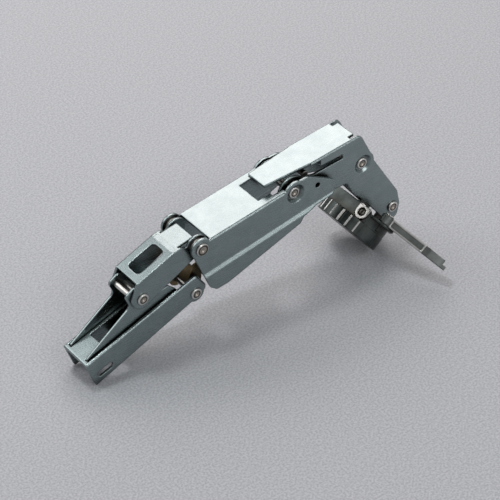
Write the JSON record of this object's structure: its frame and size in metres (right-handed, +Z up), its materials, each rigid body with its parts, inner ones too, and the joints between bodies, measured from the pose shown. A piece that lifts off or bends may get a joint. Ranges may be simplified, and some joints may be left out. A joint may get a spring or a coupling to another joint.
{
  "type": "wide-angle concealed cabinet hinge",
  "caption": "Cranked concealed hinge swung open: folded arm, rear link, wide lever, front crank and round door cup with a clamp handle, riveted into one folding chain.",
  "frame": {"origin": "midway between the two hook slots near the arm's rear end, where a mounting plate holds the arm", "axes": "+X forward from the arm's rear end to the cup, +Y along the pivot pins, +Z up with the open hinge standing as an arch"},
  "size_m": [0.187, 0.0736, 0.0748],
  "materials": {
    "plated_sheet": "satin nickel plate",
    "rivet": "turned",
    "bronze_spring": "yellow passivated",
    "spring_wire": "oiled",
    "cast_cup": "plated casting"
  },
  "bodies": {
    "arm": {"arm_channel": "plated_sheet", "arm_insert": "plated_sheet", "stop_bar": "rivet", "arm_screw": "rivet", "rear_pivot_rivet": "rivet", "spring_arm_rivet": "rivet"},
    "rear_link": {"rear_link": "plated_sheet", "lever_rivets": "rivet"},
    "spring_arm": {"spring_arm": "bronze_spring"},
    "lever": {"lever": "plated_sheet"},
    "front_crank": {"front_crank": "plated_sheet", "crank_rivet": "rivet", "spring_pin": "rivet", "spring_bush": "rivet", "closing_spring": "spring_wire", "stop_pin": "rivet"},
    "cup": {"cup": "cast_cup", "cup_pivot_rivet": "rivet", "ear_screw": "rivet", "clamp_pin": "rivet"},
    "clamp_lever": {"clamp_lever": "cast_cup"}
  },
  "joints": [
    {"name": "rear_link_pivot", "type": "hinge", "parent": "arm", "child": "rear_link", "pos_m": [0.02249, 0, 0.03], "axis": [0, -1, 0], "range_deg": [-12.1, 0.1]},
    {"name": "lever_pivot", "type": "hinge", "parent": "rear_link", "child": "lever", "pos_m": [0.05349, 0, 0.04648], "axis": [0, -1, 0], "range_deg": [0, 112]},
    {"name": "crank_pivot", "type": "hinge", "parent": "lever", "child": "front_crank", "pos_m": [0.10803, 0, 0.05357], "axis": [0, -1, 0], "range_deg": [-106.1, 0.1]},
    {"name": "cup_pivot", "type": "hinge", "parent": "front_crank", "child": "cup", "pos_m": [0.17163, 0, 0.01567], "axis": [0, -1, 0], "range_deg": [-0.1, 167.5]},
    {"name": "spring_arm_pivot", "type": "hinge", "parent": "arm", "child": "spring_arm", "pos_m": [0.05173, 0, 0.01957], "axis": [0, -1, 0], "range_deg": [-0.1, 10.1]},
    {"name": "clamp_pivot", "type": "hinge", "parent": "cup", "child": "clamp_lever", "pos_m": [0.15865, -0.018, 0.01605], "axis": [-0.7815, 0, -0.6239], "range_deg": [0, 75]}
  ],
  "couplings": [
    {"joint": "rear_link_pivot", "follows": "lever_pivot", "ratio": -0.10714},
    {"joint": "crank_pivot", "follows": "lever_pivot", "ratio": -0.94643},
    {"joint": "cup_pivot", "follows": "lever_pivot", "ratio": 1.4946},
    {"joint": "spring_arm_pivot", "follows": "lever_pivot", "ratio": 0.089286}
  ]
}
